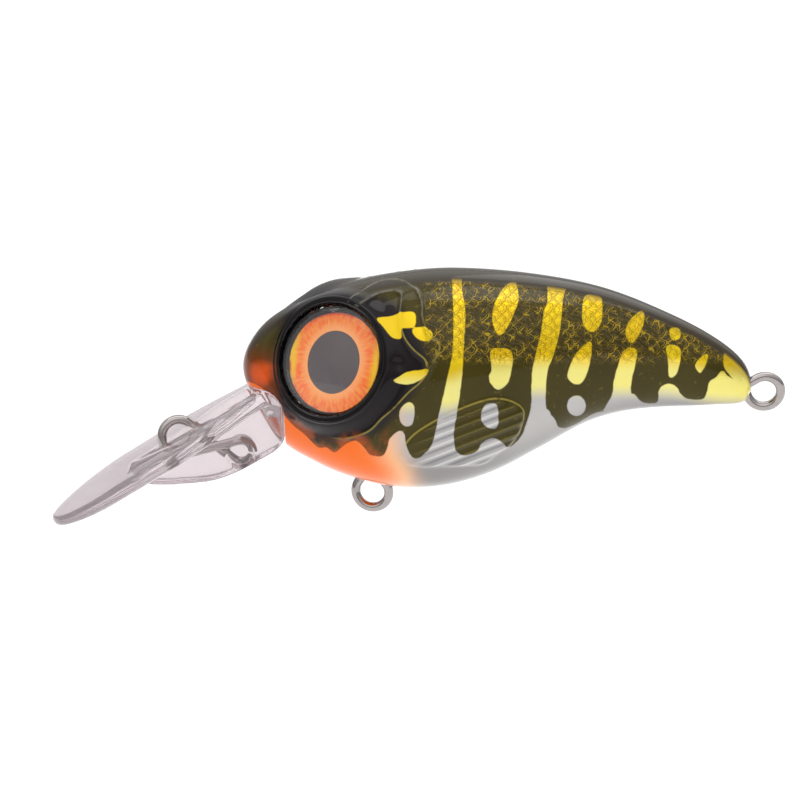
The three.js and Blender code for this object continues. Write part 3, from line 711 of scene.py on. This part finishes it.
    foil = n.times(n.ramp(gold, -1.5, 1.5, 0.3, 0.8), n.minus(1.0, n.times(is_dark, 0.62)),
                   n.minus(1.0, throat), n.ramp(black, -0.6, 1.1), n.ramp(shoulder, 0.9, 2.2))
    rough = n.plus(n.ramp(drift, 0.3, 0.7, 0.26, 0.4), n.times(is_dark, 0.08))

    relief = n.plus(n.times(n.minus(1.0, arcs), zone), n.times(hatch.outputs["Fac"], zone, 0.2))
    normal = n.bump(relief, 0.00014, 0.9)
    normal = n.bump(fine, 0.00001, 0.5, normal)
    ripple = n.bump(n.noise(90, 2), 0.00004, 0.25)
    n.principled(Base_Color=colour, Metallic=foil, Roughness=rough, Normal=normal,
                 Coat_Weight=1.0, Coat_Roughness=0.03, Coat_IOR=1.26, Coat_Normal=ripple,
                 Specular_IOR_Level=0.05)
    return n.material


def rim_material():
    n = Nodes("black_gloss")
    colour = n.mix(n.noise(400, 3), srgb(3, 3, 4), srgb(12, 10, 13))
    n.principled(Base_Color=colour, Roughness=n.ramp(n.noise(900, 3), 0.3, 0.7, 0.2, 0.3),
                 Normal=n.bump(n.noise(260, 2), 0.00003, 0.3), Coat_Weight=1.0,
                 Coat_Roughness=0.02, Coat_IOR=1.28, Specular_IOR_Level=0.05)
    return n.material


IRIS_CENTRE = (0.3, -0.2)     # the print sits a little off the eye's axis
PUPIL_HALF_WIDTH, PUPIL_HALF_HEIGHT = 3.15, 3.5


def iris_material():
    n = Nodes("iris_print")
    a = n.plus(n.field("eye_a"), -IRIS_CENTRE[0])
    b = n.plus(n.field("eye_b"), -IRIS_CENTRE[1])
    radius = n.length(a, b)
    oval = n.length(n.math("DIVIDE", a, PUPIL_HALF_WIDTH), n.math("DIVIDE", b, PUPIL_HALF_HEIGHT))
    angle = n.math("ARCTAN2", b, a)
    spoke = n.add("ShaderNodeCombineXYZ")
    n.put(n.times(angle, 5.0), spoke.inputs[0])
    n.put(n.times(radius, 0.25), spoke.inputs[1])
    streak = n.noise(3.2, 5, 0.6, spoke.outputs[0])
    mottle = n.noise(420, 4)
    orange = n.mix(n.ramp(streak, 0.3, 0.7), srgb(255, 92, 8), srgb(255, 158, 60))
    orange = n.mix(n.ramp(oval, 1.36, 1.04, 0.0, 0.8), orange, srgb(255, 176, 104))
    sides = n.times(n.ramp(n.math("ABSOLUTE", a), 4.2, 5.3),
                    n.ramp(mottle, 0.3, 0.6, 0.7, 1.0))
    orange = n.mix(sides, orange, srgb(255, 214, 0))
    orange = n.mix(n.times(n.ramp(radius, 5.1, 5.6), n.ramp(mottle, 0.4, 0.6)),
                   orange, srgb(196, 66, 20))
    pupil = n.mix(n.noise(800, 3), srgb(70, 62, 64), srgb(88, 79, 81))
    colour = n.mix(n.ramp(oval, 1.012, 0.988), orange, pupil)
    wobble = n.times(n.minus(mottle, 0.5), 0.25)
    colour = n.mix(n.ramp(n.plus(radius, wobble), 5.57, 5.67), colour, srgb(18, 15, 18))
    # Painted light: the print glows a little, so the iris looks brighter than its lighting makes
    # it.
    n.principled(Base_Color=colour, Roughness=n.ramp(mottle, 0.3, 0.7, 0.34, 0.46),
                 Normal=n.bump(streak, 0.00003, 0.4), Emission_Color=colour,
                 Emission_Strength=0.22)
    return n.material


def clear_material(name, tint, shade, ior, clearness, rough):
    n = Nodes(name)
    shader = n.principled(Base_Color=n.mix(n.noise(60, 2), tint, shade), Roughness=rough, IOR=ior,
                          Transmission_Weight=clearness,
                          Normal=n.bump(n.noise(110, 2), 0.00002, 0.2))
    n.let_lamps_through(shader, (0.93, 0.9, 0.91, 1))
    return n.material


def steel_material(name, bright, rough, stretch=(1, 1, 1)):
    n = Nodes(name)
    marks = n.noise(1400, 4, 0.6, n.place(stretch))
    colour = n.mix(marks, srgb(*[c * 0.82 for c in bright]), srgb(*bright))
    n.principled(Base_Color=colour, Metallic=1.0,
                 Roughness=n.ramp(marks, 0.3, 0.7, rough * 0.7, rough * 1.4),
                 Normal=n.bump(marks, 0.00001, 0.35))
    return n.material


def foil_material():
    n = Nodes("gold_foil")
    cells = n.add("ShaderNodeTexVoronoi", feature="DISTANCE_TO_EDGE")
    cells.inputs["Scale"].default_value = 900
    n.put(n.place((1, 1, 1.3)), cells.inputs["Vector"])
    line = n.ramp(cells.outputs["Distance"], 0.02, 0.12)
    n.principled(Base_Color=n.mix(line, srgb(150, 110, 10), srgb(236, 196, 50)), Metallic=0.9,
                 Roughness=0.28, Normal=n.bump(line, 0.00008, 0.8))
    return n.material


# ---- eyes ------------------------------------------------------------------------------------
# Lathe profiles as [radius, w].
RIM_PROFILE = [(6.35, POCKET_DEPTH), (6.42, -0.4), (6.5, 0.15), (6.6, 0.36), (6.72, 0.44),
               (6.86, 0.34), (6.98, 0.12), (7.08, 0.1), (7.2, 0.26), (7.32, 0.3), (7.44, 0.2),
               (7.52, -0.05), (7.55, -0.8), (7.4, POCKET_DEPTH)]
IRIS_PROFILE = [(0, -1.45), (6.3, -1.45), (6.34, -1.2), (6.3, -1.02), (5.0, -0.94), (3.0, -0.88),
                (1.5, -0.86), (0, -0.85)]
LENS_EDGE, LENS_CROWN, LENS_RADIUS = -0.1, 1.5, 6.3
LENS_BACK = -0.65
LENS_STEPS = 18


def lens_profile():
    """A flat back and a crown that is part of a ball."""
    rise = LENS_CROWN - LENS_EDGE
    ball = (LENS_RADIUS ** 2 + rise ** 2) / (2 * rise)
    sweep = math.asin(LENS_RADIUS / ball)
    profile = [(0, LENS_BACK), (LENS_RADIUS - 0.1, LENS_BACK), (LENS_RADIUS, LENS_BACK + 0.1)]
    for i in range(LENS_STEPS):
        angle = sweep * (1 - i / LENS_STEPS)
        profile.append((ball * math.sin(angle), LENS_CROWN - ball * (1 - math.cos(angle))))
    return profile + [(0, LENS_CROWN)]


# ---- hangers: each as the [x, z] of its open eye and of its buried eye -----------------------
WIRE_RADIUS = 0.56
EYE_RADIUS = 1.965
BURIED_RADIUS = 1.42
LEG_OFFSET = 0.62
BUTT_ANGLE = 0.16             # half the angle left open where the wire's ends meet
ARC_STEP = 0.12               # radians
WIRE_END = 0.82               # the cut ends' radius, as a share of the wire's
HANGERS = {
    "line_tie_wire": ((-7.8, -8.7), (-0.4, -10.3)),
    "belly_hook_hanger": ((15.2, -15.5), (15.2, -11.1)),
    "tail_hook_hanger": ((61.5, -3.1), (57.3, -1.7)),
}


def hanger_line(opened, buried):
    """The wire's centre line: half the buried eye, a leg, the open eye, a leg, the other half."""
    buried = np.array(buried)
    reach = np.array(opened) - buried
    distance = np.linalg.norm(reach)
    along = reach / distance
    tangent = math.acos((EYE_RADIUS + BURIED_RADIUS) / distance)
    points = []

    def arc(centre, radius, start, end, shift_start, shift_end):
        steps = math.ceil(abs(end - start) / ARC_STEP)
        for i in range(steps + 1):
            angle = start + (end - start) * i / steps
            p, q = centre + radius * math.cos(angle), radius * math.sin(angle)
            shift = shift_start + (shift_end - shift_start) * float(smoothstep(0, 1, i / steps))
            points.append((buried[0] + along[0] * p - along[1] * q, shift,
                           buried[1] + along[1] * p + along[0] * q))

    end = math.pi - BUTT_ANGLE
    arc(0, BURIED_RADIUS, end, tangent, 0, LEG_OFFSET)
    arc(distance, EYE_RADIUS, math.pi + tangent, 3 * math.pi - tangent, LEG_OFFSET, -LEG_OFFSET)
    arc(0, BURIED_RADIUS, -tangent, -end, -LEG_OFFSET, 0)
    return rounded(points, closed=False, steps=2)


def wire_object(name, line, radius, sides=24):
    """A round wire swept along a line, with slightly domed ends."""
    ahead = np.gradient(line, axis=0)
    ahead /= np.linalg.norm(ahead, axis=1, keepdims=True)
    side = np.cross(ahead[0], (0, 1, 0))
    vertices, faces = [], []
    sizes = np.full(len(line), radius)
    sizes[[0, -1]] *= WIRE_END
    for i, (point, forward) in enumerate(zip(line, ahead)):
        side = side - forward * (side @ forward)
        side /= np.linalg.norm(side)
        other = np.cross(forward, side)
        for k in range(sides):
            angle = 2 * math.pi * k / sides
            vertices.append(point + sizes[i] * (math.cos(angle) * side + math.sin(angle) * other))
    for i in range(len(line) - 1):
        for k in range(sides):
            n = (k + 1) % sides
            faces.append((i * sides + k, i * sides + n, (i + 1) * sides + n, (i + 1) * sides + k))
    last = (len(line) - 1) * sides
    faces.append(tuple(range(sides)))
    faces.append(tuple(last + k for k in range(sides)))
    obj = make_object(name, vertices, faces)
    face_outwards(obj, 60)
    return obj


# ---- diving lip ------------------------------------------------------------------------------
LIP_TIP = (-23.3, -18.25)
LIP_SLOPE = math.radians(32.2)
BLADE_THICKNESS = 1.6
BLADE_LENGTH = 30.27
BLADE_TIP_LENGTH = 10.0
BLADE_HALF_WIDTH = 8.3
BLADE_FLARE = 0.3             # how much wider the blade gets behind its tip
BLADE_TAPER = 3.4             # how much narrower it then gets towards the root
BLADE_TIP_THICKNESS = 0.72    # as a share of the full thickness
BLADE_EDGE_ROUND = 0.55       # the rounded edge's width, as a share of the thickness
WIDE_AT, NARROWS_FROM, THICK_AT = 19, 17, 9     # distances from the tip
EDGE_POWER, FACE_POWER = 0.35, 0.25             # how square the sections are
BLADE_SIDES = 64
BLADE_STATIONS = 90
KEEL_HALF_WIDTH = 1.9
LIP_VOXEL = 0.17
LIP_SMOOTHING = 12
DISH_RADIUS = 1.75
DISH_FLOOR_RADIUS = 1.4
DISH_DEPTH = 0.6
KEEL = [(-12.6, -12.6), (-11.4, -14.1), (-6.0, -14.0), (-2.4, -13.3), (1.6, -11.3), (4.7, -8.9),
        (4.7, -4.4), (2.0, -3.6), (-5.0, -7.6)]


def blade_half_width(s):
    tip = BLADE_HALF_WIDTH * np.sqrt(np.clip(1 - ((BLADE_TIP_LENGTH - s) / BLADE_TIP_LENGTH) ** 2,
                                             0, 1))
    side = BLADE_HALF_WIDTH + BLADE_FLARE * smoothstep(BLADE_TIP_LENGTH, WIDE_AT, s)
    side = side - BLADE_TAPER * smoothstep(NARROWS_FROM, BLADE_LENGTH + 2, s)
    return np.where(s < BLADE_TIP_LENGTH, tip, side)


def blade_mesh(bm):
    """The blade: round-edged sections, each across the blade, from the tip to the root."""
    turn = np.array([math.cos(LIP_SLOPE), math.sin(LIP_SLOPE)])
    lift = np.array([-math.sin(LIP_SLOPE), math.cos(LIP_SLOPE)])
    turns = np.linspace(0.02, 1, BLADE_STATIONS) * math.pi
    stations = BLADE_LENGTH * (1 - np.cos(turns)) / 2
    fullness = BLADE_TIP_THICKNESS + (1 - BLADE_TIP_THICKNESS) * smoothstep(0, THICK_AT, stations)
    rings = []
    for s, width, full in zip(stations, blade_half_width(stations), fullness):
        ring = []
        for k in range(BLADE_SIDES):
            angle = 2 * math.pi * k / BLADE_SIDES
            c, d = math.cos(angle), math.sin(angle)
            y = width * np.sign(c) * abs(c) ** EDGE_POWER
            edge = np.clip((width - abs(y)) / (BLADE_THICKNESS * BLADE_EDGE_ROUND), 0, 1)
            t = full * np.sign(d) * abs(d) ** FACE_POWER * math.sqrt(1 - (1 - edge) ** 2)
            x, z = LIP_TIP + s * turn + BLADE_THICKNESS * (t - 1) / 2 * lift
            ring.append(bm.verts.new((x, y, z)))
        rings.append(ring)
    skin_rings(bm, rings)


def skin_rings(bm, rings):
    """Faces from ring to ring, and one over each end."""
    for low, high in zip(rings, rings[1:]):
        for k in range(len(low)):
            n = (k + 1) % len(low)
            bm.faces.new((low[k], low[n], high[n], high[k]))
    bm.faces.new(rings[0])
    bm.faces.new(rings[-1][::-1])


def prism(bm, outline_points, half_width):
    """A side-view outline given thickness across the centre plane."""
    left = [bm.verts.new((x, -half_width, z)) for x, z in outline_points]
    right = [bm.verts.new((x, half_width, z)) for x, z in outline_points]
    bm.faces.new(left)
    bm.faces.new(right[::-1])
    for i in range(len(left)):
        j = (i + 1) % len(left)
        bm.faces.new((left[i], right[i], right[j], left[j]))


def ellipsoid(bm, centre, radii, turn):
    matrix = (Matrix.Translation(centre) @ Matrix.Rotation(turn, 4, "Y")
              @ Matrix.Diagonal((*radii, 1)))
    bmesh.ops.create_uvsphere(bm, u_segments=48, v_segments=24, radius=1, matrix=matrix)


def root_block(bm):
    """The lip's root: the front of the head, below and before the snout's corner."""
    grid = half_skin(0.0, 60, 220)
    keep = grid[:, 0, 0] < ROOT_CORNER[0] - ROOT_GAP
    grid = grid[keep]
    top = root_top(grid[..., 0]) - ROOT_GAP
    grid[..., 2] = np.minimum(grid[..., 2], top)
    low = grid[..., 2].min(axis=1) < top[:, 0] - 0.05
    grid = grid[low]
    rings = []
    for ring in grid:
        loop = [tuple(p) for p in ring] + [(p[0], -p[1], p[2]) for p in ring[-2:0:-1]]
        rings.append([bm.verts.new(p) for p in loop])
    skin_rings(bm, rings)


def apply_modifiers(obj):
    bpy.context.view_layer.update()
    depsgraph = bpy.context.evaluated_depsgraph_get()
    mesh = bpy.data.meshes.new_from_object(obj.evaluated_get(depsgraph))
    old = obj.data
    obj.modifiers.clear()
    obj.data = mesh
    bpy.data.meshes.remove(old)


def dish_keel(mesh):
    """A round shallow dish in each side of the keel, over the wire's buried eye."""
    points = np.empty(len(mesh.vertices) * 3)
    mesh.vertices.foreach_get("co", points)
    points = points.reshape(-1, 3)
    x, z = HANGERS["line_tie_wire"][1]
    middle = (NOSE + np.array([x, 0, z])) * MM
    reach = np.hypot(points[:, 0] - middle[0], points[:, 2] - middle[2]) / MM
    depth = DISH_DEPTH * smoothstep(DISH_RADIUS, DISH_FLOOR_RADIUS, reach)
    points[:, 1] *= 1 - depth / KEEL_HALF_WIDTH
    mesh.vertices.foreach_set("co", points.ravel())
    mesh.update()


def lip_object():
    bm = bmesh.new()
    blade_mesh(bm)
    prism(bm, rounded(KEEL, steps=5), KEEL_HALF_WIDTH)
    root_block(bm)
    tie = HANGERS["line_tie_wire"][0]
    # A long low pad on the blade that the line-tie eye stands on.
    ellipsoid(bm, (tie[0] + 1.2, 0, tie[1] + 0.2), (7.4, 1.75, 0.95), -LIP_SLOPE)
    ellipsoid(bm, (-1.6, 0, -5.2), (6.4, 2.6, 1.1), -LIP_SLOPE)
    bmesh.ops.recalc_face_normals(bm, faces=bm.faces)
    for v in bm.verts:
        v.co = (v.co + Vector(NOSE)) * MM
    mesh = bpy.data.meshes.new("clear_lip")
    bm.to_mesh(mesh)
    bm.free()
    obj = add_object("clear_lip", mesh)
    remesh = obj.modifiers.new("fuse", "REMESH")
    remesh.mode = "VOXEL"
    remesh.voxel_size = LIP_VOXEL * MM
    relax = obj.modifiers.new("relax", "CORRECTIVE_SMOOTH")
    relax.rest_source = "ORCO"
    relax.smooth_type = "SIMPLE"
    relax.factor = 0.5
    relax.iterations = LIP_SMOOTHING
    relax.use_only_smooth = True
    apply_modifiers(obj)
    dish_keel(obj.data)
    obj.data.shade_smooth()
    return obj


# ---- the stage -------------------------------------------------------------------------------
LAMP_AIM = (0.03, 0, 0)
FLOOR_HEIGHT = -0.14
FLOOR_REACH = 3
SKY_LOBE = (-0.25, -0.62, 0.74)


def stage():
    look = Vector((NOSE[0] + VIEW_CENTRE[0], 0, NOSE[2] + VIEW_CENTRE[1] / TILT_UP)) * MM
    camera = bpy.data.cameras.new("camera")
    camera.lens = LENS
    camera.sensor_width = SENSOR
    camera.clip_start = 0.01
    holder = add_object("camera", camera)
    holder.location = look + VIEW_DISTANCE * MM * Vector((0, -TILT_UP, TILT_OUT))
    holder.rotation_euler = (math.pi / 2 - VIEW_TILT, 0, 0)
    bpy.context.scene.camera = holder

    n = Nodes("pale_floor")
    n.principled(Base_Color=n.mix(n.noise(3, 2), (0.9, 0.9, 0.9, 1), (0.93, 0.93, 0.93, 1)),
                 Roughness=0.8, Emission_Color=(1, 1, 1, 1), Emission_Strength=0.2)
    mesh = bpy.data.meshes.new("floor")
    corners = [(x * FLOOR_REACH, y * FLOOR_REACH, 0)
               for x, y in ((-1, -1), (1, -1), (1, 1), (-1, 1))]
    mesh.from_pydata(corners, [], [(0, 1, 2, 3)])
    mesh.materials.append(n.material)
    floor = add_object("floor", mesh)
    floor.location = (0, 0, FLOOR_HEIGHT)

    def softbox(name, place, size, power):
        light = bpy.data.lights.new(name, "AREA")
        light.shape = "RECTANGLE"
        light.size, light.size_y = size
        light.energy = power
        lamp = add_object(name, light)
        lamp.location = place
        direction = Vector(LAMP_AIM) - Vector(place)
        lamp.rotation_euler = direction.to_track_quat("-Z", "Y").to_euler()

    softbox("top_box", (0.03, 0.10, 0.60), (0.9, 0.16), 0.9)
    softbox("rear_box", (0.3, 0.5, 0.35), (0.5, 0.3), 0.3)

    # Sky: pale at the horizon, bright overhead, with one soft bright lobe over the camera side.
    world = bpy.data.worlds.new("studio")
    bpy.context.scene.world = world
    world.use_nodes = True
    tree = world.node_tree
    direction = tree.nodes.new("ShaderNodeTexCoord")
    lobe = tree.nodes.new("ShaderNodeVectorMath")
    lobe.operation = "DOT_PRODUCT"
    lobe.inputs[1].default_value = SKY_LOBE
    split = tree.nodes.new("ShaderNodeSeparateXYZ")
    tree.links.new(direction.outputs["Generated"], lobe.inputs[0])
    tree.links.new(direction.outputs["Generated"], split.inputs[0])
    total = tree.nodes.new("ShaderNodeMath")
    parts = ((split.outputs["Z"], 0.0, 0.75, 0.4, 0.92),
             (lobe.outputs["Value"], 0.72, 1.0, 0.0, 0.5))
    for index, (source, low, high, dim, bright) in enumerate(parts):
        spread = tree.nodes.new("ShaderNodeMapRange")
        spread.interpolation_type = "SMOOTHSTEP"
        for key, value in (("From Min", low), ("From Max", high), ("To Min", dim),
                           ("To Max", bright)):
            spread.inputs[key].default_value = value
        tree.links.new(source, spread.inputs["Value"])
        tree.links.new(spread.outputs["Result"], total.inputs[index])
    background = tree.nodes["Background"]
    background.inputs["Color"].default_value = (1.0, 1.0, 1.0, 1)
    tree.links.new(total.outputs[0], background.inputs["Strength"])
    bpy.context.scene.view_settings.view_transform = "Standard"


# ---- assembly --------------------------------------------------------------------------------
def finish_piece(obj, material, slot, *nodes):
    obj.data.materials.clear()
    obj.data.materials.append(material)
    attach(obj, ROOT)
    if nodes:
        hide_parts(*nodes)


def paint_node(name, material):
    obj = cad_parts[name]
    obj.data.materials.clear()
    obj.data.materials.append(material)


stage()
paint = paint_material()
black_gloss = rim_material()
iris = iris_material()
lens_clear = clear_material("lens_clear", (0.99, 0.98, 0.98, 1), (0.96, 0.96, 0.97, 1),
                            ior=1.4, clearness=1.0, rough=0.01)
lip_clear = clear_material("lip_clear", (0.77, 0.69, 0.71, 1), (0.71, 0.63, 0.66, 1),
                           ior=1.5, clearness=0.88, rough=0.03)
wire_steel = steel_material("wire_steel", (186, 179, 177), 0.09, (1, 1, 3))
ball_steel = steel_material("ball_steel", (210, 210, 214), 0.12)
weight_metal = steel_material("weight_metal", (128, 130, 138), 0.5)
gold_foil = foil_material()

outer, fields = shaped_skin()
inner = inner_skin()
for word, side in (("left", -1), ("right", 1)):
    skin = shell_object(f"painted_skin_{word}", side, outer, inner, fields)
    finish_piece(skin, paint, "shell_paint", f"body_shell_{word}")
    rim = turned(f"eye_socket_rim_{word}", RIM_PROFILE, side)
    finish_piece(rim, black_gloss, "shell_paint")
    disc = turned(f"iris_disc_{word}", IRIS_PROFILE, side)
    finish_piece(disc, iris, "iris_print", f"eye_iris_{word}")
    dome = turned(f"eye_dome_{word}", lens_profile(), side)
    finish_piece(dome, lens_clear, "clear_lens", f"eye_lens_{word}")
    paint_node(f"foil_insert_{word}", gold_foil)

for node, (opened, buried) in HANGERS.items():
    wire = wire_object(f"{node}_bent", hanger_line(opened, buried), WIRE_RADIUS)
    finish_piece(wire, wire_steel, "hanger_wire", node)
finish_piece(lip_object(), lip_clear, "clear_lip", "diving_lip")
paint_node("belly_ballast", weight_metal)
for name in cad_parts:
    if "rattle_ball" in name or name == "knocker_ball":
        paint_node(name, ball_steel)
